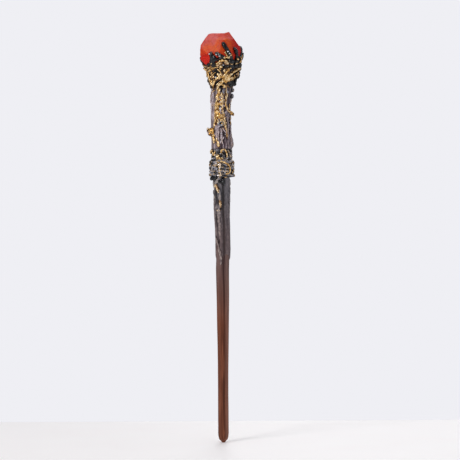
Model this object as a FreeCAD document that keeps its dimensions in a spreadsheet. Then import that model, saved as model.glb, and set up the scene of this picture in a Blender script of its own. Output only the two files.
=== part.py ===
import FreeCAD, Part
import math
import os
import Sketcher

# A magic wand of wood, clay and stone, standing on its point.
# +Z runs up the wand from the point (the origin) to the crystal, and -Y is its front.
# A place on the wand's skin is given by its turn, in degrees round the wand from the front
# and positive towards +X, and by its height above the point, in millimetres.

SIDES = 8
FULL_TURN = 360.0
AXIS_GAP = "0.01"  # keeps a sketched corner just clear of the sketch's axis
STRAND_SINK = 0.12  # share of a strand's thickness that is pressed into the skin
PRONG_SINK = 0.15

# ---------------------------------------------------------------- driving dimensions

SIZES = {
    "total_length": 350.0,
    # Hardwood stick: distances across its flats at several heights.
    "tip_across": 2.0,
    "bevel_height": 2.8,
    "bevel_across": 6.6,
    "tip_height": 8.5,
    "slim_across": 8.6,
    "slim_height": 52.0,
    "mid_across": 10.9,
    "mid_height": 148.0,
    "stick_across": 11.8,
    "stick_top": 306.0,
    # Thin clay skin over the top of the bare stick.
    "skin_bottom": 154.0,
    "skin_bottom_across": 12.1,
    "skin_waist_height": 172.0,
    "skin_waist_across": 12.3,
    "skin_shoulder_height": 188.0,
    "skin_shoulder_across": 13.2,
    "skin_top": 226.0,
    "skin_top_across": 14.2,
    # Collar with its coils.
    "collar_top": 250.0,
    "collar_radius": 8.5,
    "coil_thickness": 2.7,
    "coil_count": 5.0,
    "coil_ring_radius": 9.04,
    "lowest_coil_height": 228.0,
    # Bark grip.
    "grip_top": 302.0,
    "grip_radius": 8.6,
    "grip_waist_radius": 8.2,
    "furrow_depth": 0.7,
    "furrow_width": 1.4,
    "furrow_reach": 9.6,
    "furrow_count": 9.0,
    "knot_hole_radius": 1.9,
    "knot_hole_thickness": 1.2,
    # Crown.
    "cup_floor": 308.0,
    "cup_rim_height": 322.0,
    "cup_neck_radius": 9.4,
    "cup_floor_radius": 9.1,
    "cup_rim_radius": 14.2,
    "cup_wall": 1.8,
    "seat_top": 319.0,
    # The turned pieces' blanks start this far from the axis, inside the stick that cuts them.
    "core_radius": 1.0,
    # Crystal: its middle is crystal_rise below the top, and each facet is cut from a slab.
    "crystal_rise": 18.2,
    "crystal_block": 60.0,
    "crystal_facet_reach": 17.6,
}

doc = FreeCAD.newDocument("magic_wand")
sheet = doc.addObject("Spreadsheet::Sheet", "Sizes")
for row, (alias, value) in enumerate(SIZES.items(), start=1):
    sheet.set(f"A{row}", alias)
    sheet.set(f"B{row}", str(value))
    sheet.setAlias(f"B{row}", alias)
doc.recompute()


def size(expression):
    """Value of an expression on the sheet, such as "Sizes.collar_radius / 2"."""
    value = sheet.evalExpression(expression)
    return float(getattr(value, "Value", value))


# ---------------------------------------------------------------- sketch and body helpers


def new_sketch(body, name, role, height=None):
    """Sketch on one of the body's origin planes, lifted by a height expression."""
    sketch = body.newObject("Sketcher::SketchObject", name)
    plane = next(f for f in body.Origin.OriginFeatures if f.Role == role)
    sketch.AttachmentSupport = [(plane, "")]
    sketch.MapMode = "FlatFace"
    if height:
        sketch.setExpression("AttachmentOffset.Base.z", height)
    return sketch


def bind(sketch, constraint, name, expression):
    index = sketch.addConstraint(constraint)
    sketch.renameConstraint(index, name)
    sketch.setExpression("Constraints." + name, expression)


def regular_polygon(sketch, across):
    """Regular polygon round the origin with one flat facing +X, sized across its flats."""
    inner = size(across) / 2
    outer = inner / math.cos(math.pi / SIDES)
    angles = [(2 * i - 1) * math.pi / SIDES for i in range(SIDES)]
    corners = [FreeCAD.Vector(outer * math.cos(a), outer * math.sin(a), 0) for a in angles]
    for i in range(SIDES):
        sketch.addGeometry(Part.LineSegment(corners[i], corners[(i + 1) % SIDES]))
    circle = sketch.addGeometry(Part.Circle(FreeCAD.Vector(), FreeCAD.Vector(0, 0, 1), inner), True)
    for i in range(SIDES):
        sketch.addConstraint(Sketcher.Constraint("Coincident", i, 2, (i + 1) % SIDES, 1))
    sketch.addConstraint(Sketcher.Constraint("Coincident", circle, 3, -1, 1))
    for i in range(SIDES):
        sketch.addConstraint(Sketcher.Constraint("Tangent", i, circle))
    for i in range(1, SIDES - 1):
        sketch.addConstraint(Sketcher.Constraint("Equal", 0, i))
    sketch.addConstraint(Sketcher.Constraint("Symmetric", 0, 1, 0, 2, -1))
    bind(sketch, Sketcher.Constraint("Radius", circle, inner), "inner_radius", across + " / 2")


def outline(sketch, corners):
    """Closed outline of straight edges; each corner is a pair of size expressions."""
    points = [FreeCAD.Vector(size(x), size(y), 0) for x, y in corners]
    count = len(points)
    for i in range(count):
        sketch.addGeometry(Part.LineSegment(points[i], points[(i + 1) % count]))
    for i in range(count):
        sketch.addConstraint(Sketcher.Constraint("Coincident", i, 2, (i + 1) % count, 1))
    for i, (x, y) in enumerate(corners):
        across = Sketcher.Constraint("DistanceX", -1, 1, i, 1, points[i].x)
        bind(sketch, across, f"across_{i}", x)
        up = Sketcher.Constraint("DistanceY", -1, 1, i, 1, points[i].y)
        bind(sketch, up, f"up_{i}", y)


def faceted_loft(name, sections):
    """Body lofted straight through polygons given as (distance across flats, height)."""
    body = doc.addObject("PartDesign::Body", name)
    sketches = []
    for i, (across, height) in enumerate(sections):
        sketch = new_sketch(body, f"{name}_section_{i}", "XY_Plane", height)
        regular_polygon(sketch, across)
        sketches.append(sketch)
    doc.recompute()
    loft = body.newObject("PartDesign::AdditiveLoft", name + "_loft")
    loft.Profile = sketches[0]
    loft.Sections = sketches[1:]
    loft.Ruled = True
    doc.recompute()
    return body


def turned_body(name, corners):
    """Body of revolution about the wand's axis from an outline of (radius, height) corners."""
    body = doc.addObject("PartDesign::Body", name)
    sketch = new_sketch(body, name + "_profile", "XZ_Plane")
    outline(sketch, corners)
    doc.recompute()
    turned = body.newObject("PartDesign::Revolution", name + "_turned")
    turned.Profile = sketch
    turned.ReferenceAxis = (sketch, ["V_Axis"])
    turned.Angle = FULL_TURN
    doc.recompute()
    return body


# ---------------------------------------------------------------- fitting pieces together

pieces = {}


def piece(name, source):
    """Gives a finished object its name as a piece of the wand."""
    source.Label = name
    pieces[name] = source
    return source


def fitted(name, blank, neighbours):
    """The blank, cut back face to face with each neighbour that it reaches into."""
    result = blank
    for neighbour in neighbours:
        apart = not result.Shape.BoundBox.intersect(neighbour.Shape.BoundBox)
        if apart or result.Shape.common(neighbour.Shape).Volume == 0:
            continue
        cut = doc.addObject("Part::Cut", f"{name}_fit_{neighbour.Name}")
        cut.Base = result
        cut.Tool = neighbour
        doc.recompute()
        if cut.Shape.isNull() or not cut.Shape.Solids:
            raise RuntimeError(f"{name} is lost when it is fitted to {neighbour.Label}")
        result = cut
    return piece(name, result)


def skin_radius(neighbours, turn, height):
    """Distance from the wand's axis to the outermost skin at a turn and height."""
    far = size("Sizes.crystal_block") / 2
    start = FreeCAD.Vector(0, 0, height)
    ray = Part.makeLine(start, start + far * outward(turn))
    reach = 0.0
    for neighbour in neighbours:
        for vertex in ray.common(neighbour.Shape).Vertexes:
            reach = max(reach, vertex.Point.distanceToPoint(start))
    if not reach:
        raise RuntimeError(f"there is no skin at turn {turn}, height {height}")
    return reach


def outward(turn):
    angle = math.radians(turn)
    return FreeCAD.Vector(math.sin(angle), -math.cos(angle), 0)


def rolled_strand(points, thicknesses):
    """Round strand of clay lofted through points, with a blunt nose at each end."""
    nose_length = 0.35
    nose_thickness = 0.55
    last = len(points) - 1
    tangents = []
    for i in range(last + 1):
        run = points[min(i + 1, last)] - points[max(i - 1, 0)]
        tangents.append(run.normalize())
    stations = [(p, t, width) for p, t, width in zip(points, tangents, thicknesses)]
    first_nose = points[0] - tangents[0] * thicknesses[0] * nose_length
    last_nose = points[last] + tangents[last] * thicknesses[last] * nose_length
    stations.insert(0, (first_nose, tangents[0], thicknesses[0] * nose_thickness))
    stations.append((last_nose, tangents[last], thicknesses[last] * nose_thickness))
    rings = []
    frame = FreeCAD.Rotation(FreeCAD.Vector(0, 0, 1), stations[0][1])
    for i, (point, tangent, width) in enumerate(stations):
        if i:
            frame = FreeCAD.Rotation(stations[i - 1][1], tangent).multiply(frame)
        ring = Part.Wire([Part.makeCircle(width / 2)])
        ring.Placement = FreeCAD.Placement(point, frame)
        rings.append(ring)
    return Part.makeLoft(rings, True)


def strand(name, route, thick, thin, under, beside=(), sink=STRAND_SINK):
    """Strand pressed into the skin along a route of (turn, height) or (turn, height, lift).

    Its thickness runs from thick to thin, and sink is the share of it below the skin of the
    pieces under it. A lift raises the strand's middle above that place. The strand also gives
    way to the pieces beside it.
    """
    points = []
    thicknesses = []
    for i, (turn, height, *lift) in enumerate(route):
        thickness = thick + (thin - thick) * i / (len(route) - 1)
        radius = skin_radius(under, turn, height) + thickness * (0.5 - sink) + sum(lift)
        points.append(FreeCAD.Vector(0, 0, height) + radius * outward(turn))
        thicknesses.append(thickness)
    blank = doc.addObject("Part::Feature", name + "_blank")
    blank.Shape = rolled_strand(points, thicknesses)
    return fitted(name, blank, [*under, *beside])


def lump(name, turn, height, radii, lift, under, beside=()):
    """Rounded lump of clay with radii (outward, sideways, upwards) pressed into the skin."""
    out = outward(turn)
    up = FreeCAD.Vector(0, 0, 1)
    blank = doc.addObject("Part::Ellipsoid", name + "_blank")
    blank.Radius1, blank.Radius3, blank.Radius2 = radii
    blank.Angle1 = -90
    facing = FreeCAD.Rotation(up, out.cross(up), out, "ZXY")
    centre = up * height + out * (skin_radius(under, turn, height) + lift)
    blank.Placement = FreeCAD.Placement(centre, facing)
    doc.recompute()
    return fitted(name, blank, [*under, *beside])


# ---------------------------------------------------------------- stick and its skin


def make_stick():
    return piece(
        "shaft",
        faceted_loft(
            "shaft",
            [
                ("Sizes.tip_across", "0"),
                ("Sizes.bevel_across", "Sizes.bevel_height"),
                ("Sizes.slim_across", "Sizes.tip_height"),
                ("Sizes.slim_across", "Sizes.slim_height"),
                ("Sizes.mid_across", "Sizes.mid_height"),
                ("Sizes.stick_across", "Sizes.stick_top"),
            ],
        ),
    )


def make_shaft_skin(shaft):
    blank = faceted_loft(
        "shaft_skin_blank",
        [
            ("Sizes.skin_bottom_across", "Sizes.skin_bottom"),
            ("Sizes.skin_waist_across", "Sizes.skin_waist_height"),
            ("Sizes.skin_shoulder_across", "Sizes.skin_shoulder_height"),
            ("Sizes.skin_top_across", "Sizes.skin_top"),
        ],
    )
    return fitted("shaft_skin", blank, [shaft])


def make_roots(skin, collar):
    """Root-like strands that trail down the skin from the collar."""
    under = [skin, collar]
    front = [(-14, 225), (-42, 219.5), (-16, 214), (-14, 208), (-20, 200), (-34, 195)]
    left = [(-70, 225), (-78, 216), (-66, 207), (-72, 198), (-60, 190)]
    low = [(-60, 174), (-48, 170.5), (-32, 165.5), (-18, 160), (-12, 155.5)]
    low_left = [(-96, 182), (-84, 176), (-92, 169), (-84, 162), (-90, 157)]
    back = [(150, 225), (164, 216), (156, 206), (168, 196), (176, 188)]
    right = [(100, 225), (84, 214), (96, 203), (88, 192)]
    made = [strand("root_front", front, 2.4, 1.3, under)]
    made.append(strand("root_left", left, 2.2, 1.2, under, made))
    made.append(strand("root_low_front", low, 1.8, 1.2, [skin], made))
    made.append(strand("root_low_left", low_left, 1.7, 1.1, [skin], made))
    made.append(strand("root_back", back, 2.3, 1.2, under, made))
    made.append(strand("root_right", right, 1.8, 1.1, under, made))
    made.append(lump("root_drop", 12, 222.0, (1.3, 1.9, 2.8), 0.2, under, made))


# ---------------------------------------------------------------- collar


def make_collar(shaft):
    blank = turned_body(
        "collar_core_blank",
        [
            ("Sizes.core_radius", "Sizes.skin_top"),
            ("Sizes.collar_radius", "Sizes.skin_top"),
            ("Sizes.collar_radius", "Sizes.collar_top"),
            ("Sizes.core_radius", "Sizes.collar_top"),
        ],
    )
    return fitted("collar_core", blank, [shaft])


def make_collar_coils(collar):
    """Strands wound round the collar, each a ring laid a little askew."""
    coils = []
    askew = 1.5  # degrees
    for i in range(int(size("Sizes.coil_count"))):
        blank = doc.addObject("Part::Torus", f"collar_coil_{i + 1}_blank")
        blank.setExpression("Radius1", "Sizes.coil_ring_radius")
        blank.setExpression("Radius2", "Sizes.coil_thickness / 2")
        height = f"Sizes.lowest_coil_height + Sizes.coil_thickness * {i}"
        blank.setExpression("Placement.Base.z", height)
        blank.Placement.Rotation = FreeCAD.Rotation(FreeCAD.Vector(0, 1, 0), askew)
        doc.recompute()
        coils.append(fitted(f"collar_coil_{i + 1}", blank, [collar] + coils[-1:]))
    return coils


def make_collar_strands(under):
    """Gold strands and a bead laid over the coils at the front of the collar."""
    arch = [(-14, 247), (-4, 250), (12, 250), (26, 247), (32, 242)]
    curl = [(-6, 243), (10, 240.5), (26, 238.5), (42, 236.5), (48, 233), (40, 230), (26, 229.5)]
    lip = [(-88, 247.5), (-72, 250), (-56, 249), (-44, 245.5), (-34, 248)]
    back = [(140, 248), (156, 243), (178, 240.5), (200, 236), (214, 231)]
    made = [strand("collar_curl", curl, 1.7, 1.3, under)]
    made.append(strand("collar_arch", arch, 2.2, 1.6, under, made))
    made.append(strand("collar_lip", lip, 1.7, 1.3, under, made))
    made.append(strand("collar_back_strand", back, 1.8, 1.3, under, made))
    made.append(lump("collar_bead", -24, 242.8, (1.4, 1.5, 1.7), 0.3, under, made))


# ---------------------------------------------------------------- grip


def make_grip(shaft):
    """Clay sleeve with a slight waist and long furrows like those of bark."""
    blank = turned_body(
        "grip_sleeve_blank",
        [
            ("Sizes.core_radius", "Sizes.collar_top"),
            ("Sizes.grip_radius", "Sizes.collar_top"),
            ("Sizes.grip_waist_radius", "(Sizes.collar_top + Sizes.grip_top) / 2"),
            ("Sizes.grip_radius", "Sizes.grip_top"),
            ("Sizes.core_radius", "Sizes.grip_top"),
        ],
    )
    floor = "(Sizes.grip_waist_radius - Sizes.furrow_depth)"
    notch = new_sketch(blank, "furrow", "XY_Plane", "Sizes.grip_top")
    outline(
        notch,
        [
            (floor, AXIS_GAP),
            ("Sizes.furrow_reach", "Sizes.furrow_width"),
            ("Sizes.furrow_reach", AXIS_GAP),
        ],
    )
    doc.recompute()
    whole = blank.Shape.Volume
    pocket = blank.newObject("PartDesign::Pocket", "furrow_pocket")
    pocket.Profile = notch
    pocket.Type = "Length"
    pocket.setExpression("Length", "Sizes.grip_top - Sizes.collar_top")
    doc.recompute()
    rounds = blank.newObject("PartDesign::PolarPattern", "furrows")
    rounds.Originals = [pocket]
    rounds.Axis = (notch, ["N_Axis"])
    rounds.Angle = FULL_TURN
    rounds.Occurrences = int(size("Sizes.furrow_count"))
    blank.Tip = rounds
    doc.recompute()
    if blank.Shape.Volume >= whole:
        raise RuntimeError("the furrows cut nothing")
    return fitted("grip_sleeve", blank, [shaft])


def make_vines(grip):
    """Gold vines that run down the bark, and the knots and beads between them."""
    routes = {
        "vine_left": [(-10, 300), (-16, 295), (-24, 288), (-30, 281), (-36, 273), (-46, 265), (-46, 255)],
        "vine_front": [(4, 297), (10, 290), (13, 282), (24, 274), (31, 266), (33, 259)],
        "vine_right": [(34, 297.5), (30, 291), (37, 285.6), (50, 281.6)],
        "vine_far_right": [(112, 297), (104, 288), (114, 278), (106, 268), (114, 257)],
        "vine_back_right": [(150, 300), (140, 290), (150, 279), (143, 268), (154, 255)],
        "vine_back_left": [(200, 299), (212, 288), (200, 276), (210, 264), (203, 254)],
        "vine_far_left": [(-110, 298), (-118, 288), (-108, 278), (-116, 268)],
    }
    made = []
    for name, route in routes.items():
        made.append(strand(name, route, 1.9, 1.2, [grip], made))
    made.append(lump("grip_knot", -64, 265.2, (3.2, 3.8, 3.6), 1.2, [grip], made))
    made.append(lump("hook_bead", 70, 280.2, (2.4, 2.4, 1.8), 0.8, [grip], made))
    made.append(lump("grip_bulge", 76, 255.4, (1.7, 3.0, 4.8), 0.1, [grip], made))
    made.append(lump("nub_upper", 76, 299.9, (2.0, 1.8, 1.9), 0.9, [grip], made))
    made.append(lump("nub_lower", 76, 295.0, (2.1, 1.8, 2.3), 0.8, [grip], made))
    return made


def make_knot_hole(grip, vines):
    """Rim round a dark oval knot hole in the bark."""
    turn, height = 2, 271.0
    rim = doc.addObject("Part::Torus", "knot_hole_blank")
    rim.setExpression("Radius1", "Sizes.knot_hole_radius")
    rim.setExpression("Radius2", "Sizes.knot_hole_thickness / 2")
    centre = FreeCAD.Vector(0, 0, height) + skin_radius([grip], turn, height) * outward(turn)
    facing = FreeCAD.Rotation(FreeCAD.Vector(0, 0, 1), outward(turn))
    rim.Placement = FreeCAD.Placement(centre, facing)
    doc.recompute()
    return fitted("knot_hole_rim", rim, [grip] + vines)


# ---------------------------------------------------------------- crown


def make_cup(shaft):
    """Flared cup that carries the crystal, hollow above its floor."""
    blank = turned_body(
        "crown_cup_blank",
        [
            ("Sizes.core_radius", "Sizes.grip_top"),
            ("Sizes.cup_neck_radius", "Sizes.grip_top"),
            ("Sizes.cup_rim_radius", "Sizes.cup_rim_height"),
            ("Sizes.cup_rim_radius - Sizes.cup_wall", "Sizes.cup_rim_height"),
            ("Sizes.cup_floor_radius", "Sizes.cup_floor"),
            ("Sizes.core_radius", "Sizes.cup_floor"),
        ],
    )
    return fitted("crown_cup", blank, [shaft])


# Each facet of the crystal: turn, tilt of its normal above level, and its distance from the
# crystal's middle as a share of the largest one.
FACETS = [
    (-90, 82, 0.97),
    (-90, 34, 1.00),
    (-90, 4, 1.00),
    (-90, -38, 0.98),
    (90, 38, 0.945),
    (90, 14, 0.96),
    (90, -30, 0.92),
    (-24, 12, 0.90),
    (12, 2, 0.94),
    (-12, 46, 0.97),
    (40, 14, 0.93),
    (36, 48, 0.98),
    (-52, -22, 0.95),
    (8, -36, 0.93),
    (56, -34, 0.93),
    (180, 8, 0.92),
    (142, 22, 0.96),
    (-138, 18, 0.95),
    (170, 50, 0.97),
    (-150, -34, 0.93),
    (128, -32, 0.93),
    (0, -90, 0.94),
]


def make_crystal():
    """Stone bounded by flat facets: the space that one slab behind each facet shares."""
    block = size("Sizes.crystal_block")
    middle = FreeCAD.Vector(0, 0, size("Sizes.total_length - Sizes.crystal_rise"))
    slabs = []
    for i, (turn, tilt, share) in enumerate(FACETS):
        slab = doc.addObject("Part::Box", f"facet_slab_{i + 1}")
        slab.setExpression("Length", "Sizes.crystal_block")
        slab.setExpression("Width", "Sizes.crystal_block")
        slab.setExpression("Height", f"Sizes.crystal_block / 2 + Sizes.crystal_facet_reach * {share}")
        lean = math.radians(tilt)
        normal = outward(turn) * math.cos(lean) + FreeCAD.Vector(0, 0, math.sin(lean))
        facing = FreeCAD.Rotation(FreeCAD.Vector(0, 0, 1), normal)
        corner = facing.multVec(FreeCAD.Vector(-block / 2, -block / 2, -block / 2))
        slab.Placement = FreeCAD.Placement(middle + corner, facing)
        slabs.append(slab)
    stone = doc.addObject("Part::MultiCommon", "crystal_stone")
    stone.Shapes = slabs
    doc.recompute()
    return piece("crystal", stone)


def make_seat(shaft, cup, crystal):
    """Bed of adhesive between the cup and the crystal."""
    blank = turned_body(
        "crystal_seat_blank",
        [
            (AXIS_GAP, "Sizes.stick_top"),
            ("Sizes.cup_neck_radius", "Sizes.stick_top"),
            ("Sizes.cup_rim_radius - Sizes.cup_wall / 2", "Sizes.seat_top"),
            (AXIS_GAP, "Sizes.seat_top"),
        ],
    )
    return fitted("crystal_seat", blank, [shaft, cup, crystal])


def make_prongs(cup, crystal, seat):
    """Black claws that rise from the cup and clasp the crystal; each tip comes first."""
    routes = [
        [(-29.5, 330), (-27, 327), (-27.5, 323), (-29, 319.5)],
        [(-13, 329.7), (-4.5, 328), (3.5, 326.5), (10, 323.3), (15, 319.6)],
        [(6.5, 337.9), (15, 333.6), (23.5, 329), (28, 324.5), (30, 319.6)],
        [(43, 334.4), (46, 330), (50, 325.6), (51, 319.6)],
        [(79, 336.8, -0.2), (70, 332.6, -0.6), (65, 328, -0.6), (65, 319.6)],
        [(84, 331), (83, 327.5), (82, 323.5), (80, 319)],
        [(-112, 329, -1.1), (-106, 325.6, -1.1), (-98, 322, -0.8), (-92, 319)],
        [(124, 336), (118, 331), (113, 326), (110, 319.5)],
        [(152, 341), (146, 334.5), (143, 328), (142, 320)],
        [(-146, 339), (-152, 332), (-150, 326), (-148, 320)],
    ]
    made = []
    for i, route in enumerate(routes, start=1):
        made.append(strand(f"prong_{i}", route, 2.4, 3.2, [crystal, cup, seat], made, PRONG_SINK))
    return made


def make_twigs(cup, prongs):
    """Twigs laid across the cup, like a bird's nest round the crystal."""
    routes = [
        [(-64, 315.3), (-50, 316.5), (-36, 317.9), (-24, 318.5)],
        [(-18, 312.6), (-4, 310.2), (8, 311.6), (18, 315.1), (22, 317.6)],
        [(24, 310.3), (36, 312.9), (52, 315.6), (68, 317)],
        [(-66, 313.9), (-62, 310.4), (-56, 306.8), (-46, 303.7)],
        [(-42, 303.8), (-30, 307), (-20, 309.3)],
        [(-12, 303.2), (4, 306.3), (20, 308.3), (40, 309.5), (56, 310.3)],
        [(70, 314.5), (80, 312.5), (90, 310.8)],
        [(96, 316), (118, 313.5), (140, 316.5), (160, 318)],
        [(172, 316), (196, 313), (220, 315.5), (240, 318)],
        [(-112, 314), (-98, 312.5), (-84, 315), (-74, 317)],
    ]
    made = []
    for i, route in enumerate(routes, start=1):
        made.append(strand(f"crown_twig_{i}", route, 2.3, 1.6, [cup], prongs + made))
    return made


def make_neck_arches(grip, cup, others):
    """Small loops of clay where the grip meets the crown."""
    upper = [(-22, 299.7), (-10, 303), (4, 303.8), (20, 301.7)]
    lower = [(14, 296.8), (12, 299.6), (26, 299.5), (34, 295.3)]
    made = [strand("neck_arch_upper", upper, 1.6, 1.6, [grip, cup], others)]
    made.append(strand("neck_arch_lower", lower, 1.5, 1.5, [grip, cup], others + made))


# ---------------------------------------------------------------- assembly and export


def make_wand():
    shaft = make_stick()
    skin = make_shaft_skin(shaft)
    collar = make_collar(shaft)
    make_roots(skin, collar)
    coils = make_collar_coils(collar)
    make_collar_strands([collar] + coils)
    grip = make_grip(shaft)
    vines = make_vines(grip)
    make_knot_hole(grip, vines)
    cup = make_cup(shaft)
    crystal = make_crystal()
    seat = make_seat(shaft, cup, crystal)
    prongs = make_prongs(cup, crystal, seat)
    twigs = make_twigs(cup, prongs)
    make_neck_arches(grip, cup, vines + twigs)


def check_everything():
    """Stops on any object that failed, or any piece that is not one valid solid."""
    for item in doc.Objects:
        if "Invalid" in item.State or "Error" in item.State:
            raise RuntimeError(f"{item.Label} is {item.State}")
    for name, source in pieces.items():
        shape = source.Shape
        if shape.isNull() or not shape.isValid() or len(shape.Solids) != 1:
            raise RuntimeError(f"{name} is not one valid solid")


def export():
    os.makedirs("parts", exist_ok=True)
    for name, source in pieces.items():
        source.Shape.exportStep(os.path.join("parts", name + ".step"))
        print(f"{name}: {source.Shape.Volume:.1f} cubic mm")


make_wand()
doc.recompute()
check_everything()
export()
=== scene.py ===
import math

import bmesh
import bpy
import numpy as np
from mathutils import Matrix, Vector
from mathutils.bvhtree import BVHTree


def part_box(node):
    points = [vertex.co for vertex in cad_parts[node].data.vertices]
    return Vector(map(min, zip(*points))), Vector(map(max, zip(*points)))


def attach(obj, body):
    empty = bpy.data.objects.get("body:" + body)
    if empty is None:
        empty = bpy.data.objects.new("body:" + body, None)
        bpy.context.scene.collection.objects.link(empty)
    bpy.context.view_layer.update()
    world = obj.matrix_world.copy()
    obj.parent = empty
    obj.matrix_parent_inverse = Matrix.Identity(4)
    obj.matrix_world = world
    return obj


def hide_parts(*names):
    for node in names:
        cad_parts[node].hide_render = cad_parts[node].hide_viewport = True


# The looks of a magic wand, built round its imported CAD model.
# Shapes are worked out in millimetres. A place on the wand is its turn, in degrees round the
# wand from the front (-Y) and positive towards +X, and its height above the wand's point.

MM = 0.001
REACH = 60.0  # further from the axis than any part of the wand

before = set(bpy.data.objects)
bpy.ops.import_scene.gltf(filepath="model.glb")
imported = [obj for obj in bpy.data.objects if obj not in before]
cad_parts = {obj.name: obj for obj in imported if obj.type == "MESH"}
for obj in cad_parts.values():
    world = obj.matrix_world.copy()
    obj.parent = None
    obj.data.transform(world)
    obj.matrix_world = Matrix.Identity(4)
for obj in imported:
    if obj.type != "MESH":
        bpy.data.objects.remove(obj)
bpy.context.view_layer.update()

# ---------------------------------------------------------------- random fields

LATTICE = 64
lattice = np.random.default_rng(7).random((LATTICE, LATTICE, LATTICE))


def noise(points, cell, seed=0):
    """Smooth random field from 0 to 1. The cell is the size of its lumps, one number or one an axis."""
    grid = points / np.array(cell) + 13.7 * seed + 1000.0
    low = np.floor(grid).astype(int)
    share = grid - low
    share = share * share * (3 - 2 * share)
    total = np.zeros(len(points))
    for corner in np.ndindex(2, 2, 2):
        at = (low + corner) % LATTICE
        weight = np.prod(np.where(corner, share, 1 - share), axis=1)
        total += weight * lattice[at[:, 0], at[:, 1], at[:, 2]]
    return total


def ridges(points, cell, seed=0):
    """Field that is 1 along winding crests and falls to 0 between them."""
    return 1 - np.clip(np.abs(noise(points, cell, seed) - 0.5) * 4.2, 0, 1)


def twisted(points, degrees_per_mm):
    """The points turned about the wand's axis by an angle that grows with height."""
    angle = np.radians(points[:, 2] * degrees_per_mm)
    across = points[:, 0] * np.cos(angle) - points[:, 1] * np.sin(angle)
    deep = points[:, 0] * np.sin(angle) + points[:, 1] * np.cos(angle)
    return np.stack([across, deep, points[:, 2]], axis=1)


def smooth_step(value, low, high):
    share = np.clip((value - low) / (high - low), 0, 1)
    return share * share * (3 - 2 * share)


def hill(value, middle, width):
    """1 at the middle, falling smoothly to nearly 0 at twice the width from it."""
    return np.exp(-(((value - middle) / width) ** 2))


# ---------------------------------------------------------------- places on the wand


def outward(turn):
    """Level direction away from the axis at each turn."""
    angle = np.radians(turn)
    return np.stack([np.sin(angle), -np.cos(angle), np.zeros_like(angle)], axis=-1)


def place(turn, height, radius):
    """Points at these turns, heights and distances from the axis."""
    turn, height, radius = np.broadcast_arrays(*map(np.asarray, (turn, height, radius)))
    points = outward(turn.astype(float)) * radius[..., None]
    points[..., 2] = height
    return points


def front_turn(turn):
    """The turn as -180 to 180 degrees from the front."""
    return (turn + 180) % 360 - 180


def outward_of(points):
    """Level direction away from the axis at each point."""
    level = points * (1, 1, 0)
    return level / np.maximum(np.linalg.norm(level, axis=1), 1e-6)[:, None]


def box_of(node):
    """A CAD node's lowest and highest corner, in millimetres."""
    low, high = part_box(node)
    return np.array(low) / MM, np.array(high) / MM


def surface_of(*nodes):
    """Search tree over the faces of CAD nodes, in millimetres."""
    points, faces = [], []
    for node in nodes:
        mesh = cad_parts[node].data
        first = len(points)
        points += [corner.co / MM for corner in mesh.vertices]
        faces += [[first + i for i in face.vertices] for face in mesh.polygons]
    return BVHTree.FromPolygons(points, faces)


def radius_at(surface, turn, height):
    """Distance from the axis to the surface's outside, or None where it has none."""
    out = Vector(outward(float(turn)).tolist())
    hit = surface.ray_cast(out * REACH + Vector((0, 0, float(height))), -out, REACH)
    return None if hit[0] is None else REACH - hit[3]


def radii_on(surface, turns, heights):
    """radius_at for arrays of places; a place off the surface takes the last radius found."""
    found, last = [], 0.0
    for turn, height in zip(np.ravel(turns), np.ravel(heights)):
        radius = radius_at(surface, turn, height)
        last = last if radius is None else radius
        found.append(last)
    return np.array(found).reshape(np.shape(turns))


def grid_on(node, turns, heights):
    """Grid of turns and heights over a CAD node, with its outside's distance from the axis."""
    turn, height = np.meshgrid(turns, heights)
    return turn, height, radii_on(surface_of(node), turn, height)


# The wand isn't quite straight: height, and how far it strays towards +X.
STRAY = [
    (0, 0.2), (60, 0.25), (85, 0.36), (118, 0.38), (148, 0.25), (158, 0.6), (165, 0.85), (174, 0.72),
    (182, 0.5), (192, 0.2), (205, 0.1), (226, 0), (250, 0.3), (262, 0), (273, -0.5), (288, -0.65),
    (296, -0.2), (302, 0.2), (308, 0.5), (315, 1.4), (321, 1), (330, 0),
]


def strayed(points):
    """The points moved as the wand strays from a straight line."""
    heights, shifts = zip(*STRAY)
    moved = points.copy()
    moved[:, 0] += np.interp(points[:, 2], heights, shifts)
    return moved


# ---------------------------------------------------------------- pieces


def numbered(name, count):
    return [f"{name}_{i + 1}" for i in range(count)]


def linked(thing):
    """The object, put in the scene."""
    bpy.context.scene.collection.objects.link(thing)
    return thing


def finish_piece(name, points, faces, raised, material, replaced=()):
    """Piece of the wand from points in mm; raised is 1 on crests and 0 in hollows.
    """
    mesh = bpy.data.meshes.new(name)
    mesh.from_pydata((points * MM).tolist(), [], faces)
    paint = mesh.attributes.new("raised", "FLOAT", "POINT")
    paint.data.foreach_set("value", np.clip(raised, 0, 1).astype(np.float32))
    shell = bmesh.new()
    shell.from_mesh(mesh)
    bmesh.ops.recalc_face_normals(shell, faces=shell.faces)
    shell.to_mesh(mesh)
    shell.free()
    mesh.shade_smooth()
    mesh.materials.append(material)
    piece = linked(bpy.data.objects.new(name, mesh))
    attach(piece, "root")
    if replaced:
        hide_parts(*replaced)


def grid_faces(rows, columns, first=0):
    """Quads of a tube of rings, with a fan to one more point at each end."""
    faces = []
    for i in range(rows - 1):
        for j in range(columns):
            k = (j + 1) % columns
            a, b = first + i * columns, first + (i + 1) * columns
            faces.append((a + j, a + k, b + k, b + j))
    bottom, top = first + rows * columns, first + rows * columns + 1
    last = first + (rows - 1) * columns
    for j in range(columns):
        k = (j + 1) % columns
        faces.append((bottom, first + k, first + j))
        faces.append((top, last + j, last + k))
    return faces


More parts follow.
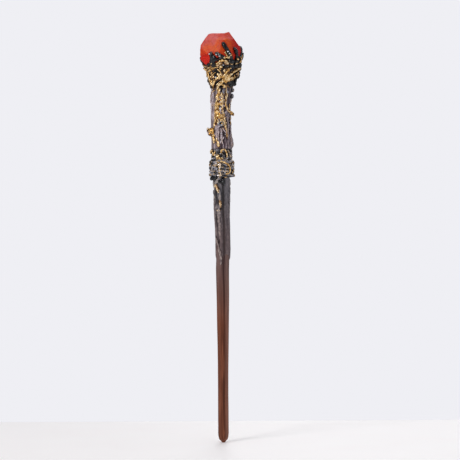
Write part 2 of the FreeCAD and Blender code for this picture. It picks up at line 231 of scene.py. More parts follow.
def tube_piece(node, rings, raised, material):
    """Closed piece in place of a CAD node, from rings of points shaped (rings, places round, 3)."""
    rows, columns = raised.shape
    ends = np.array([rings[0].mean(axis=0), rings[-1].mean(axis=0)])
    points = np.concatenate([rings.reshape(-1, 3), ends])
    paint = np.concatenate([raised.ravel(), [raised[0].mean(), raised[-1].mean()]])
    faces = grid_faces(rows, columns)
    finish_piece(node, strayed(points), faces, paint, material, [node])


def scooped(points, scoops):
    """Points inside balls of (turn, height, distance from the axis, radius) move out of them."""
    moved = points.copy()
    for turn, height, distance, ball in scoops:
        centre = place(float(turn), height, distance)
        away = moved - centre
        far = np.linalg.norm(away, axis=1)
        inside = far < ball
        moved[inside] = centre + away[inside] / np.maximum(far[inside], 1e-6)[:, None] * ball
    return moved


def sculpted(
    node, material, voxel=0.2, lump=0.16, cell=1.3, sink=0.5, soft=3,
    reshape=None, swell=0.0, pull=0.0,
):
    """Hand-worked version of a CAD node: its solid, softened, with lumps and dents in mm.

    It can also be swollen all round, and pulled in towards the wand's axis.
    """
    holder = linked(bpy.data.objects.new("holder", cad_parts[node].data.copy()))
    holder.data.transform(Matrix.Scale(1 / MM, 4))
    remesh = holder.modifiers.new("remesh", "REMESH")
    remesh.mode = "VOXEL"
    remesh.voxel_size = voxel
    soften = holder.modifiers.new("soften", "SMOOTH")
    soften.iterations = soft
    shaped = holder.evaluated_get(bpy.context.evaluated_depsgraph_get())
    mesh = bpy.data.meshes.new_from_object(shaped)
    bpy.data.objects.remove(holder)
    points = np.array([corner.co for corner in mesh.vertices])
    normals = np.array([normal.vector for normal in mesh.vertex_normals])
    faces = [tuple(face.vertices) for face in mesh.polygons]
    out = outward_of(points)
    facing = np.sum(normals * out, axis=1)
    dents = noise(points, cell, 1) + 0.5 * noise(points, cell / 3, 2) - 0.75
    points = points + normals * (2 * lump * dents + swell)[:, None]
    points = points - out * (pull + sink * np.clip(-facing, 0, 1))[:, None]
    if reshape:
        points = reshape(points)
    raised = 0.75 * smooth_step(facing, -0.3, 0.9) + 0.5 * (dents + 0.25)
    bpy.data.meshes.remove(mesh)
    finish_piece(node, strayed(points), faces, raised, material, [node])


ROUTE_STEP = 0.4  # between the places along a strand
MM_A_DEGREE = 0.18  # about how far a degree round the wand is on its surface
BAND_RADIUS = 10  # about how far from the axis the strewn strands lie


class Cluster:
    """Piece made of many rolled strands and pressed-on lumps of clay."""

    def __init__(self, surface, seed=0, sunk=0.0):
        """Clay laid on a surface, or sunk this many mm below it."""
        self.surface = surface
        self.sunk = sunk
        self.random = np.random.default_rng(seed)
        self.points, self.faces, self.raised, self.count = [], [], [], 0

    def add_rings(self, rings, raised):
        rows, columns = raised.shape
        ends = [rings[0].mean(axis=0), rings[-1].mean(axis=0)]
        self.faces += grid_faces(rows, columns, self.count)
        self.points += [rings.reshape(-1, 3), np.array(ends)]
        self.raised += [raised.ravel(), [raised[0].mean(), raised[-1].mean()]]
        self.count += rows * columns + 2

    def strand(self, route, thick, thin, lift=0.25):
        """Strand along (turn, height) places, thick at its first one and thin at its last."""
        line = smooth_route(route)
        radii = radii_on(self.surface, line[:, 0], line[:, 1])
        padded = np.pad(radii, 3, mode="edge")
        radii = np.convolve(padded, np.ones(7) / 7, mode="valid")
        share = np.linspace(0, 1, len(line))
        width = (thick + (thin - thick) * share) / 2
        centres = place(line[:, 0], line[:, 1], radii + width * lift - self.sunk)
        width = width * (0.75 + 0.5 * noise(centres, 2.2, self.count % 17))
        to_end = np.minimum(share, 1 - share) * len(line) * ROUTE_STEP
        width = width * np.sqrt(np.clip(to_end / (thick / 2), 0.03, 1))
        along = np.gradient(centres, axis=0)
        along /= np.linalg.norm(along, axis=1)[:, None]
        out = outward_of(centres)
        out = out - along * np.sum(out * along, axis=1)[:, None]
        out /= np.linalg.norm(out, axis=1)[:, None]
        side = np.cross(along, out)
        angle = np.linspace(0, 2 * math.pi, 10, endpoint=False)
        rings = (
            centres[:, None]
            + (out[:, None] * np.cos(angle)[:, None] * 0.9 + side[:, None] * np.sin(angle)[:, None])
            * width[:, None, None]
        )
        dents = noise(rings.reshape(-1, 3), 0.9, 3).reshape(rings.shape[:2]) - 0.5
        rings += (rings - centres[:, None]) * dents[..., None] * 0.5
        raised = 0.45 + 0.45 * np.cos(angle)[None, :] + 0.5 * dents
        self.add_rings(rings, raised)

    def lump(self, turn, height, across, tall, deep, lift=0.0):
        """Rounded lump of clay with half sizes across, tall and deep (radially)."""
        radius = radius_at(self.surface, turn, height) + lift - self.sunk
        centre = place(float(turn), height, radius)
        out = outward(float(turn))
        side = np.array([-out[1], out[0], 0.0])
        polar = np.linspace(0.12, math.pi - 0.12, 14)
        angle = np.linspace(0, 2 * math.pi, 20, endpoint=False)
        tilt, spin = np.meshgrid(polar, angle, indexing="ij")
        rings = centre + (
            side * (np.sin(tilt) * np.cos(spin) * across)[..., None]
            + out * (np.sin(tilt) * np.sin(spin) * deep)[..., None]
            + np.array([0, 0, 1.0]) * (np.cos(tilt) * tall)[..., None]
        )
        flat = rings.reshape(-1, 3)
        dents = (noise(flat, 1.8, 4) + 0.5 * noise(flat, 0.7, 5) - 0.75).reshape(tilt.shape)
        rings += (rings - centre) * dents[..., None] * 0.45
        raised = 0.45 + 0.45 * np.sin(tilt) * np.sin(spin) + 0.6 * dents
        self.add_rings(rings, raised)

    def strands(self, *rows):
        for row in rows:
            self.strand(*row)

    def lumps(self, *rows):
        for row in rows:
            self.lump(*row)

    def dots(self, places, flatness, deep, lift):
        """Lumps of (turn, height, half width), each as tall as its width times the flatness."""
        for turn, height, size in places:
            self.lump(turn, height, size, size * flatness, deep, lift)

    def finish(self, name, material, slot=None):
        points = strayed(np.concatenate(self.points))
        finish_piece(name, points, self.faces, np.concatenate(self.raised), material)


def smooth_route(route):
    """Places close together on a smooth curve through the route's places."""
    places = np.array(route, float)
    padded = np.vstack([2 * places[0] - places[1], places, 2 * places[-1] - places[-2]])
    line = []
    for a, b, c, d in zip(padded, padded[1:], padded[2:], padded[3:]):
        run = math.hypot((c[0] - b[0]) * MM_A_DEGREE, c[1] - b[1])
        for t in np.linspace(0, 1, max(2, round(run / ROUTE_STEP)), endpoint=False):
            bend = (2 * a - 5 * b + 4 * c - d) * t**2 + (3 * b - a - 3 * c + d) * t**3
            line.append(0.5 * (2 * b + (c - a) * t + bend))
    line.append(places[-1])
    return np.array(line)


# ---------------------------------------------------------------- paints


class Paint:
    """A material's nodes, built up one named step at a time round its main shader."""

    def __init__(self, name, slot=None):
        self.material = bpy.data.materials.new(name)
        self.material.use_nodes = True
        self.nodes = self.material.node_tree.nodes
        self.links = self.material.node_tree.links
        self.shader = self.nodes["Principled BSDF"]
        self.place = self.nodes.new("ShaderNodeTexCoord").outputs["Object"]

    def put(self, value, socket):
        """Sets a socket to a constant or links it to another node's output."""
        if isinstance(value, bpy.types.NodeSocket):
            self.links.new(value, socket)
        else:
            socket.default_value = value

    def add(self, kind, inputs, output, **settings):
        """New node with its settings and inputs; gives the output of that name or number."""
        node = self.nodes.new("ShaderNode" + kind)
        for name, value in settings.items():
            setattr(node, name, value)
        for name, value in inputs.items():
            self.put(value, node.inputs[name])
        return node.outputs[output]

    def raised(self):
        return self.add("Attribute", {}, "Fac", attribute_name="raised")

    def texture(self, kind, size, stretch, inputs, output, **settings):
        """Texture whose pattern has a size in mm and a stretch along the wand."""
        scale = (1 / MM, 1 / MM, 1 / MM / stretch)
        place = self.add("Mapping", {"Vector": self.place, "Scale": scale}, "Vector")
        inputs = {"Vector": place, "Scale": 1 / size, **inputs}
        return self.add(kind, inputs, output, **settings)

    def noise(self, size, detail=3.0, stretch=1.0, wander=0.0, rough=0.55):
        inputs = {"Detail": detail, "Roughness": rough, "Distortion": wander}
        return self.texture("TexNoise", size, stretch, inputs, "Fac")

    def cracks(self, size):
        """Distance to the nearest edge between cells of a size in mm."""
        return self.texture("TexVoronoi", size, 1, {}, "Distance", feature="DISTANCE_TO_EDGE")

    def height(self):
        return self.add("SeparateXYZ", {0: self.place}, "Z")

    def across(self):
        return self.add("SeparateXYZ", {0: self.place}, "X")

    def math(self, operation, first, second):
        return self.add("Math", {0: first, 1: second}, 0, operation=operation)

    def scaled(self, value, from_low, from_high, to_low=0.0, to_high=1.0):
        """The value, with one range of it stretched over another and cut off beyond."""
        ends = {"From Min": from_low, "From Max": from_high, "To Min": to_low, "To Max": to_high}
        return self.add("MapRange", {"Value": value, **ends}, "Result")

    def blended(self, first, second, share):
        """Two noises evened out and added up, the first one by its share."""
        first = self.scaled(first, 0.3, 0.7, 0.0, share)
        second = self.scaled(second, 0.3, 0.7, 0.0, 1 - share)
        return self.math("ADD", first, second)

    def shades(self, value, *stops):
        """Colour for a value from 0 to 1, from stops of (value, colour)."""
        node = self.nodes.new("ShaderNodeValToRGB")
        self.put(value, node.inputs[0])
        elements = node.color_ramp.elements
        while len(elements) < len(stops):
            elements.new(0.5)
        for element, (position, colour) in zip(elements, stops):
            element.position = position
            element.color = (*colour, 1)
        return node.outputs["Color"]

    def mixed(self, share, first, second):
        node = self.nodes.new("ShaderNodeMix")
        node.data_type = "RGBA"
        self.put(share, node.inputs["Factor"])
        colours = [socket for socket in node.inputs if socket.type == "RGBA"]
        for value, socket in zip((first, second), colours):
            self.put((*value, 1) if isinstance(value, tuple) else value, socket)
        return next(socket for socket in node.outputs if socket.type == "RGBA")

    def dusted(self, tone, patches, crests, colour):
        """The tone with dust of a colour where the patches lie on crests."""
        return self.mixed(self.math("MULTIPLY", patches, crests), tone, colour)

    def bumps(self, height, depth):
        """Dents the surface by a height field of a depth in mm."""
        inputs = {"Strength": 1.0, "Distance": depth * MM, "Height": height}
        self.put(self.add("Bump", inputs, "Normal"), self.shader.inputs["Normal"])

    def finish(self, **settings):
        """Sets the shader's inputs; an underscore in a name stands for a space."""
        for name, value in settings.items():
            self.put(value, self.shader.inputs[name.replace("_", " ")])
        return self.material


def crest_amount(paint, spread=0.5, size=1.1):
    """How raised a spot is, broken up like paint from a nearly dry brush; the black gloss and the glints
    also use it to place painted highlights.
    """
    fine = paint.noise(size, detail=4.0, stretch=1.8)
    broken = paint.scaled(fine, 0.3, 0.7, -spread / 2, spread / 2)
    return paint.math("ADD", paint.raised(), broken)


def gold_paint(name="gold_clay", bright=1.0, warmth=1.0):
    """Gold brushed over black: bright on crests, brown on slopes, black in hollows."""
    paint = Paint(name, "gold_clay")
    amount = crest_amount(paint)
    tone = paint.shades(
        amount,
        (0.28, (0.006, 0.004, 0.004)),
        (0.50, (0.065, 0.024, 0.010)),
        (0.66, (0.44 * bright, 0.215 * bright / warmth, 0.050 / warmth**4)),
        (0.84, (0.76 * bright, 0.450 * bright / warmth, 0.135 / warmth**4)),
        (1.00, (0.96, 0.76 / warmth, 0.46 / warmth**4)),
    )
    paint.bumps(paint.noise(0.6, detail=3.0), 0.10)
    return paint.finish(
        Base_Color=tone,
        Metallic=paint.scaled(amount, 0.35, 0.75, 0.0, 0.65),
        Roughness=paint.scaled(amount, 0.2, 0.9, 0.5, 0.30),
        Specular_IOR_Level=0.4,
    )


def bark_paint():
    """Plum black in the furrows, lilac grey brushed on the ridges, a little gold dust; painted shade on
    its right side and painted light on its left.
    """
    paint = Paint("bark_clay")
    amount = crest_amount(paint, 0.45, 0.9)
    tone = paint.shades(
        amount,
        (0.14, (0.014, 0.003, 0.008)),
        (0.36, (0.078, 0.036, 0.050)),
        (0.55, (0.200, 0.150, 0.165)),
        (0.80, (0.400, 0.325, 0.350)),
        (1.00, (0.66, 0.56, 0.60)),
    )
    # Painted shade: the bark darkens towards its right side.
    painted_shade_right = paint.scaled(paint.across(), 0.001, 0.007, 0.0, 0.6)
    tone = paint.mixed(painted_shade_right, tone, (0.085, 0.060, 0.070))
    # Painted light: the bark turns paler towards its left side.
    lit = paint.scaled(paint.across(), -0.001, -0.006, 0.0, 0.28)
    tone = paint.mixed(lit, tone, (0.52, 0.42, 0.42))
    patches = paint.scaled(paint.noise(3.4, detail=2.0, stretch=2.2), 0.56, 0.72)
    tone = paint.dusted(tone, patches, paint.scaled(amount, 0.5, 0.9), (0.56, 0.37, 0.22))
    paint.bumps(paint.noise(0.7, detail=4.0, stretch=3.0), 0.16)
    return paint.finish(
        Base_Color=tone,
        Roughness=paint.scaled(paint.noise(2.0), 0.3, 0.7, 0.34, 0.55),
        Specular_IOR_Level=0.45,
    )


def dark_paint():
    """Grey black clay with silver grey on its crests."""
    paint = Paint("dark_clay")
    amount = crest_amount(paint, 0.45, 1.0)
    tone = paint.shades(
        amount,
        (0.30, (0.005, 0.004, 0.005)),
        (0.55, (0.034, 0.032, 0.036)),
        (0.75, (0.092, 0.090, 0.104)),
        (1.00, (0.32, 0.31, 0.355)),
    )
    patches = paint.scaled(paint.noise(2.6, detail=2.0), 0.52, 0.66)
    tone = paint.dusted(tone, patches, paint.scaled(amount, 0.55, 0.85), (0.60, 0.40, 0.18))
    paint.bumps(paint.noise(0.6, detail=4.0), 0.12)
    return paint.finish(Base_Color=tone, Roughness=0.38, Specular_IOR_Level=0.45)


def skin_paint():
    """Thin clay skin: charcoal at the collar, turning plum brown down the stick."""
    paint = Paint("skin_clay", "dark_clay")
    amount = crest_amount(paint, 0.3, 1.4)
    charcoal = paint.shades(
        amount,
        (0.10, (0.014, 0.011, 0.013)),
        (0.40, (0.088, 0.080, 0.090)),
        (0.70, (0.205, 0.185, 0.195)),
        (1.00, (0.40, 0.34, 0.30)),
    )
    brown = paint.shades(
        amount,
        (0.10, (0.034, 0.016, 0.016)),
        (0.40, (0.090, 0.062, 0.065)),
        (0.70, (0.175, 0.125, 0.125)),
        (1.00, (0.38, 0.30, 0.27)),
    )
    up = paint.scaled(paint.height(), 0.178, 0.212)
    tone = paint.mixed(up, brown, charcoal)
    paint.bumps(paint.noise(0.9, detail=4.0, stretch=5.0), 0.10)
    return paint.finish(Base_Color=tone, Roughness=0.42, Specular_IOR_Level=0.4)


def wood_paint():
    """Stained hardwood with a fine long grain, darker where raised is low and near the clay, with a
    painted sheen on its right side.
    """
    paint = Paint("stained_wood", "hardwood")
    grain = paint.noise(0.55, detail=5.0, stretch=38.0, wander=0.2)
    figure = paint.noise(2.6, detail=2.0, stretch=16.0)
    blend = paint.blended(grain, figure, 0.6)
    red_brown = paint.shades(
        blend,
        (0.10, (0.082, 0.024, 0.011)),
        (0.50, (0.164, 0.049, 0.023)),
        (0.90, (0.275, 0.098, 0.050)),
    )
    charred = paint.shades(
        blend,
        (0.10, (0.048, 0.028, 0.026)),
        (0.90, (0.235, 0.152, 0.142)),
    )
    up = paint.scaled(paint.height(), 0.100, 0.158)
    tone = paint.mixed(up, red_brown, charred)
    # Painted sheen: a paler grey brown towards the stick's right side.
    right = paint.scaled(paint.across(), 0.0012, 0.0042, 0.0, 0.3)
    tone = paint.mixed(right, tone, (0.34, 0.20, 0.16))
    # Darker where raised is low, in the knife marks and the streak down the front.
    crest_share = paint.scaled(paint.raised(), 0.0, 0.5)
    tone = paint.mixed(crest_share, paint.mixed(up, (0.060, 0.016, 0.007), (0.040, 0.020, 0.020)), tone)
    paint.bumps(grain, 0.07)
    return paint.finish(
        Base_Color=tone,
        Roughness=paint.scaled(grain, 0.3, 0.7, 0.50, 0.38),
        Specular_IOR_Level=0.17,
    )


def black_gloss_paint():
    """Black under a gloss varnish that pools unevenly, with painted blue-grey highlights on its crests."""
    paint = Paint("glossy_black_clay")
    # Painted highlights: blue-grey on the highest crests.
    tone = paint.shades(
        paint.scaled(crest_amount(paint, 0.7, 1.3), 0.8, 1.25),
        (0.30, (0.002, 0.002, 0.003)),
        (0.75, (0.007, 0.009, 0.012)),
        (1.00, (0.170, 0.200, 0.235)),
    )
    paint.bumps(paint.noise(1.2, detail=1.0), 0.08)
    return paint.finish(
        Base_Color=tone,
        Roughness=paint.scaled(paint.noise(1.8), 0.35, 0.65, 0.08, 0.18),
        Specular_IOR_Level=0.45,
    )


def crystal_paint():
    """Dyed red stone: orange clouds, darker veins, a waxy satin surface; a painted salmon highlight at its
    upper left and painted shade in dark red on its right.
    """
    paint = Paint("red_crystal")
    cloud = paint.noise(9.0, detail=3.0, wander=0.6)
    fleck = paint.noise(1.6, detail=5.0, rough=0.65)
    blend = paint.blended(cloud, fleck, 0.65)
    orange = paint.shades(
        blend,
        (0.08, (0.50, 0.016, 0.004)),
        (0.45, (0.62, 0.052, 0.006)),
        (0.90, (0.72, 0.120, 0.012)),
    )
    # Salmon is a painted highlight, kept to the crystal's upper left.
    salmon_highlight = paint.shades(
        blend,
        (0.08, (0.50, 0.030, 0.022)),
        (0.45, (0.58, 0.085, 0.072)),
        (0.90, (0.64, 0.130, 0.115)),
    )
    # Orange takes over lower down, at random, and towards the right, away from the painted highlight.
    low = paint.scaled(paint.height(), 0.343, 0.334)
    right = paint.scaled(paint.across(), -0.006, 0.002, 0.0, 0.55)
    orange_share = paint.math("ADD", low, paint.scaled(paint.noise(7.0), 0.3, 0.7, -0.35, 0.35))
    orange_share = paint.math("ADD", orange_share, right)
    tone = paint.mixed(paint.scaled(orange_share, 0.25, 0.75), salmon_highlight, orange)
    # Painted shade: dark red down the crystal's right side.
    tone = paint.mixed(paint.scaled(paint.across(), 0.007, 0.013), tone, (0.44, 0.010, 0.009))
    foot = paint.scaled(paint.height(), 0.3330, 0.3285)
    foot = paint.math("MULTIPLY", foot, paint.scaled(paint.across(), -0.002, -0.007, 0.25, 1.0))
    tone = paint.mixed(foot, tone, (0.62, 0.016, 0.005))
    vein = paint.scaled(paint.cracks(6.5), 0.0, 0.035, 0.55, 0.0)
    tone = paint.mixed(vein, tone, (0.22, 0.006, 0.004))
    paint.bumps(paint.noise(0.8, detail=4.0), 0.06)
    return paint.finish(
        Base_Color=tone,
        Roughness=paint.scaled(fleck, 0.3, 0.7, 0.36, 0.52),
        Specular_IOR_Level=0.2,
        Subsurface_Weight=0.25,
        Subsurface_Radius=(1.0, 0.25, 0.1),
        Subsurface_Scale=0.003,
    )


def adhesive_paint():
    paint = Paint("adhesive")
    tone = paint.shades(paint.noise(1.2), (0.3, (0.010, 0.008, 0.008)), (0.7, (0.045, 0.034, 0.028)))
    paint.bumps(paint.noise(0.8), 0.12)
    return paint.finish(Base_Color=tone, Roughness=0.3)


def glint_paint():
    """Painted highlights: silver white glints, greyer and darker where raised is low."""
    paint = Paint("painted_glints", "gold_clay")
    tone = paint.shades(
        crest_amount(paint, 0.4, 0.6),
        (0.35, (0.060, 0.065, 0.075)),
        (0.60, (0.45, 0.46, 0.50)),
        (0.85, (0.86, 0.85, 0.86)),
    )
    paint.bumps(paint.noise(0.5), 0.06)
    return paint.finish(Base_Color=tone, Roughness=0.22, Specular_IOR_Level=0.6)


GOLD = gold_paint()
BARK = bark_paint()
DARK = dark_paint()
SKIN = skin_paint()
WOOD = wood_paint()
BLACK = black_gloss_paint()
CRYSTAL = crystal_paint()
ADHESIVE = adhesive_paint()
ROOT_GOLD = gold_paint("brown_gold_clay", 0.62)
KNOT_GOLD = gold_paint("orange_gold_clay", 0.95, 1.12)
RUST = gold_paint("rust_clay", 0.28, 1.5)
# Painted highlights, laid on as cream lumps and strands.
CREAM_GLINT = gold_paint("cream_glint_clay", 1.05, 0.85)
# Painted highlights, laid on as small lumps and one short strand.
GLINTS = glint_paint()

# ---------------------------------------------------------------- the stick


def build_stick():
    """Eight-sided stick with softened edges, knife marks and a dark streak down its front."""
    top = box_of("shaft")[1][2]
    heights = [np.arange(0.02, 2.8, 0.46), np.arange(2.8, 10, 0.4), np.arange(10, top, 0.9)]
    turn, height, radius = grid_on("shaft", np.arange(0, 360, 3.0), np.concatenate(heights))
    soft = (np.roll(radius, 1, axis=1) + np.roll(radius, -1, axis=1)) / 2
    radius = np.minimum(radius, soft + 0.01)
    points = place(turn, height, radius).reshape(-1, 3)
    carved = noise(points, (5, 5, 26), 6) - 0.5 + 0.35 * (noise(points, (1.3, 1.3, 16), 7) - 0.5)
    carved = carved.reshape(turn.shape) * np.clip(height / 8, 0.1, 1)
    radius = radius + 0.28 * carved
    drift = 10 + 6 * (noise(points * (0, 0, 1), 60, 8).reshape(turn.shape) - 0.5)
    streak = hill(front_turn(turn), drift, 11) * smooth_step(height, 5, 14)
    swell = 0.2 * hill(height, 120, 45) + 0.12 * smooth_step(70 - height, 0, 20)
    swell += 0.35 * hill(height, 5, 3) * smooth_step(height, 0.5, 3)
    radius = radius + swell - 0.22 * streak
    raised = 0.62 + 0.9 * carved - 0.62 * streak
    tube_piece("shaft", place(turn, height, radius), raised, WOOD)


# ---------------------------------------------------------------- clay skin and roots

# Hollows pressed in the skin: turn, height, half width and half height in mm.
SKIN_HOLLOWS = [
    (-48, 214.5, 1.6, 3), (-14, 199.3, 1.2, 1.8), (-33, 198.6, 1, 1.6), (-30, 205, 1, 4),
    (-60, 174.5, 1.3, 2), (-48, 170.5, 1.1, 2.2), (-34, 166.6, 1, 2.2), (-20, 162.2, 1, 2.4),
    (-28, 171.5, 0.8, 1.6), (22, 156.5, 0.8, 2.4), (-46, 190, 0.8, 5), (160, 212, 1.6, 4),
    (120, 202, 1.4, 5), (-130, 208, 1.5, 4.5), (70, 206, 0.9, 4), (200, 190, 1.3, 6),
]


# How much fuller the skin is than in CAD: height and mm.
SKIN_FULLNESS = [(158, 0.15), (166, 0.25), (178, 0.1), (190, -0.15), (198, -0.5), (222, -0.5)]


def hollows(turn, height, radius, places):
    """How deep each place lies in the nearest hollow, from 0 to 1."""
    deepest = np.zeros(turn.shape)
    for at_turn, at_height, half_width, half_height in places:
        across = np.radians(front_turn(turn - at_turn)) * radius / half_width
        depth = np.exp(-((across**2 + ((height - at_height) / half_height) ** 2) ** 1.5))
        deepest = np.maximum(deepest, depth)
    return deepest


def build_skin():
    """Clay skin with a ragged, feathered lower edge, long folds and a dark front crease."""
    low, high = box_of("shaft_skin")
    turns = np.arange(0, 360, 3.0)
    turn, part = np.meshgrid(turns, np.linspace(0, 1, 190))
    ragged = 9 * noise(place(turns, 150.0, 6.0), 3.2, 9) + 10 * hill(turns, 310, 25)
    ragged = ragged - ragged.min()
    height = low[2] + 0.05 + ragged[None, :] + part * (high[2] - 0.1 - low[2] - ragged[None, :])
    radius = radii_on(surface_of("shaft_skin"), turn, height)
    stick = radii_on(surface_of("shaft"), turn, height)
    points = place(turn, height, radius).reshape(-1, 3)
    folds = ridges(twisted(points, 0.9), (2.6, 2.6, 16), 10) - 0.5
    lumps = noise(points, (1.6, 1.6, 3.0), 11) - 0.5
    folds, lumps = folds.reshape(turn.shape), lumps.reshape(turn.shape)
    left = smooth_step(np.sin(np.radians(-turn - 20)) + 0.25, 0.1, 0.7)
    calm = 0.35 + 0.65 * left
    crease = hill(front_turn(turn), 9, 8)
    dip = hollows(turn, height, radius, SKIN_HOLLOWS)
    relief = calm * (0.45 * folds + 0.35 * lumps) - 0.6 * crease - 0.55 * dip
    relief = relief + np.interp(height, *zip(*SKIN_FULLNESS))
    feather = smooth_step(part, 0.0, 0.05)
    radius = np.maximum(radius + relief, stick + 0.05) * feather + (stick - 0.15) * (1 - feather)
    raised = 0.52 + 0.55 * calm * folds + 0.35 * lumps * calm - 0.8 * crease - 0.7 * dip
    tube_piece("shaft_skin", place(turn, height, radius), raised, SKIN)


def build_skin_strands():
    """Gold strands on the skin's front and fine fibres all round it."""
    hosts = surface_of("shaft_skin", "collar_core")
    on_skin = Cluster(hosts, 21, 0.3)
    on_skin.strands(
        ([(-48, 220.2), (-38, 218), (-26, 215.2), (-19, 212.2)], 3.6, 2.2, 0.4),
        ([(-37, 218.8), (-25, 216), (-15, 212.4)], 2.2, 1.5, 0.4),
        ([(-16, 206.6), (-11, 203.4), (-12, 199.6)], 2.8, 1.4, 0.4),
        ([(-42, 198.4), (-36, 196.8), (-29, 194.8)], 1.2, 0.9),
        ([(-14, 198.4), (-20, 196.6), (-28, 194.8)], 1.2, 0.9),
    )
    on_skin.finish("root_highlights", ROOT_GOLD)
    around = Cluster(hosts, 22, 0.5)
    around.strands(
        ([(-18, 212), (-13, 206), (-14, 200)], 2.6, 2.4, 0.1),
        ([(-20, 198), (-22, 190), (-20, 182), (-22, 175)], 3.6, 2.6, 0.1),
        ([(-38, 165.5), (-26, 161.5), (-17, 157), (-13, 151.5)], 2, 1.5, 0.6),
    )
    for _ in range(16):
        start = around.random.uniform(60, 300)
        top = around.random.uniform(196, 225)
        route = [(start, top)]
        for _ in range(4):
            turn, height = route[-1]
            route.append((turn + around.random.uniform(-14, 14), height - around.random.uniform(4, 8)))
        around.strand(route, around.random.uniform(1.2, 2.0), 0.6)
    around.finish("root_fibres", SKIN)


def build_roots():
    """Strands down the skin, pressed further into it than in CAD."""
    for root in ("root_front", "root_low_front"):
        sculpted(root, SKIN, lump=0.24, sink=0.8, pull=0.6)
    for root in ("root_left", "root_back", "root_right"):
        sculpted(root, SKIN, lump=0.24, sink=0.5, pull=1.8)
    sculpted("root_low_left", DARK, lump=0.24, sink=0.5, pull=1.8)
    sculpted("root_drop", BLACK, lump=0.2, pull=0.9)


# ---------------------------------------------------------------- collar

COLLAR_HOLLOWS = [
    (-60, 246, 0.8, 2), (-34, 243.5, 0.8, 1.8), (4, 246.5, 1.6, 1.6), (40, 245, 0.8, 2.4),
    (90, 246, 0.8, 2), (140, 244, 0.8, 2.4), (200, 246, 0.8, 2.4), (-110, 245, 0.8, 2.4),
]


def wobbled(points):
    """Coils wound by hand, each a little higher or lower as it goes round."""
    points = points.copy()
    points[:, 2] += 1.5 * (noise(points, (5, 5, 3), 19) - 0.5)
    return points


def slid(points):
    """A strand slid a little left and down on the coils."""
    moved = points @ np.array(Matrix.Rotation(math.radians(7), 3, "Z"))
    return moved - (0, 0, 1.0)


def drawn_in(points):
    """The arch, pinched by the fingers that pressed it on."""
    middle = (points.max(axis=0) + points.min(axis=0)) / 2
    return middle + (points - middle) * (0.74, 1, 0.78) + (0.6, 0, -0.2)


def build_collar():
    """Five coils wound on a bark-like core, and the small strands and lumps laid on them."""
    coils = numbered("collar_coil", 5)
    for coil in coils:
        sculpted(coil, DARK, 0.25, lump=0.6, cell=2.2, sink=0.4, reshape=wobbled)
    bark_host("collar_core", 0.4, DARK, COLLAR_HOLLOWS, (2.0, 2.0, 6), 1.8)
    hosts = surface_of("shaft_skin", "collar_core", *coils)
    for lay in (lay_collar_cream_glints, lay_collar_gold, lay_collar_dark, lay_collar_black, lay_collar_glints):
        lay(hosts)


def lay_collar_cream_glints(hosts):
    # Painted highlights: cream lumps up the coils' front where they catch the light, and cream strands
    # over the collar's front.
    cream = Cluster(hosts, 35)
    for height in (238.0, 236.2, 234.2, 231.8, 229.4, 227.4):
        cream.lump(-10, height, 1.9, 0.75, 0.8, 0.4)
    cream.strands(
        ([(-13, 238.6), (-6, 235.4), (-12, 232.2), (-6, 229), (-10, 226.2)], 1.3, 1.1, 0.6),
        ([(-62, 244.4), (-54, 246.6), (-46, 245.4), (-38, 243.4)], 1.4, 1.1, 0.5),
    )
    random_strands(cream, 9, (-50, 60), (228, 246), 0.7, 1.1, 4.0, 0.9)
    cream.finish("collar_cream_glints", CREAM_GLINT)


def lay_collar_gold(hosts):
    gold = Cluster(hosts, 31)
    gold.strands(
        ([(-8, 239.1), (4, 238.7), (18, 237.4), (32, 235.2)], 1.7, 1),
        ([(-4, 242.3), (8, 241.1), (20, 239)], 1.2, 0.8),
        ([(-17, 245.1), (-18, 242.7), (-20, 240.4)], 1, 1.2),
    )
    gold.lumps(
        (60, 230, 1, 0.9, 0.8, 0.2), (83, 231.7, 1.2, 1.2, 0.9, 0.3), (78, 227.4, 1.3, 1.3, 0.9, 0.3),
        (-20, 225.9, 2, 0.9, 0.8, 0.1),
    )
    gold.strand([(14, 226.1), (24, 225.7), (34, 226.3)], 1.0, 0.8)
    random_strands(gold, 14, (50, 270), (228, 248), 0.9, 1.5, 9.0, 0.5)
    gold.finish("collar_gilding", GOLD)


def lay_collar_dark(hosts):
    dark = Cluster(hosts, 32)
    random_strands(dark, 60, (-180, 180), (228, 249), 0.9, 1.7, 6.5, 0.8)
    dark.finish("collar_strands", DARK)


def lay_collar_black(hosts):
    black = Cluster(hosts, 33)
    black.strands(
        ([(-34, 226.1), (-22, 223.2), (-8, 221.4), (8, 222.4), (18, 225.8)], 2.2, 1.6),
        ([(-94, 225.2), (-66, 224.8), (-42, 225), (-26, 226.2)], 3.2, 2.6, 1.1),
        ([(-16, 227.4), (6, 227.2), (26, 226.8)], 1.4, 1.2),
    )
    for turn, height in (
        (-52, 236.6), (-64, 233.4), (-34, 229.6), (2, 232.6), (10, 235.4), (-58, 243),
        (-40, 233), (-56, 229.8), (-36, 240.2), (-70, 238.6),
    ):
        black.lump(turn, height, 1.3, 0.8, 0.7, 0.2)
    random_strands(black, 18, (-80, 300), (228, 249), 0.8, 1.3, 5.0, 0.8)
    black.finish("collar_black_strands", BLACK, "dark_clay")


def lay_collar_glints(hosts):
    # Painted highlights: small silver white glints on the collar.
    glint_lumps = Cluster(hosts, 34)
    glint_lumps.dots([
        (16, 229.4, 0.9), (-60, 241.8, 0.8), (-28, 237.4, 0.9), (-48, 234.6, 0.7), (-24, 232.6, 1),
        (-6, 236, 0.9), (-20, 225.8, 0.8), (30, 241.5, 0.7), (60, 236, 0.8), (-8, 245.6, 0.6),
    ], 0.7, 0.6, 0.35)
    glint_lumps.finish("collar_glints", GLINTS, "dark_clay")


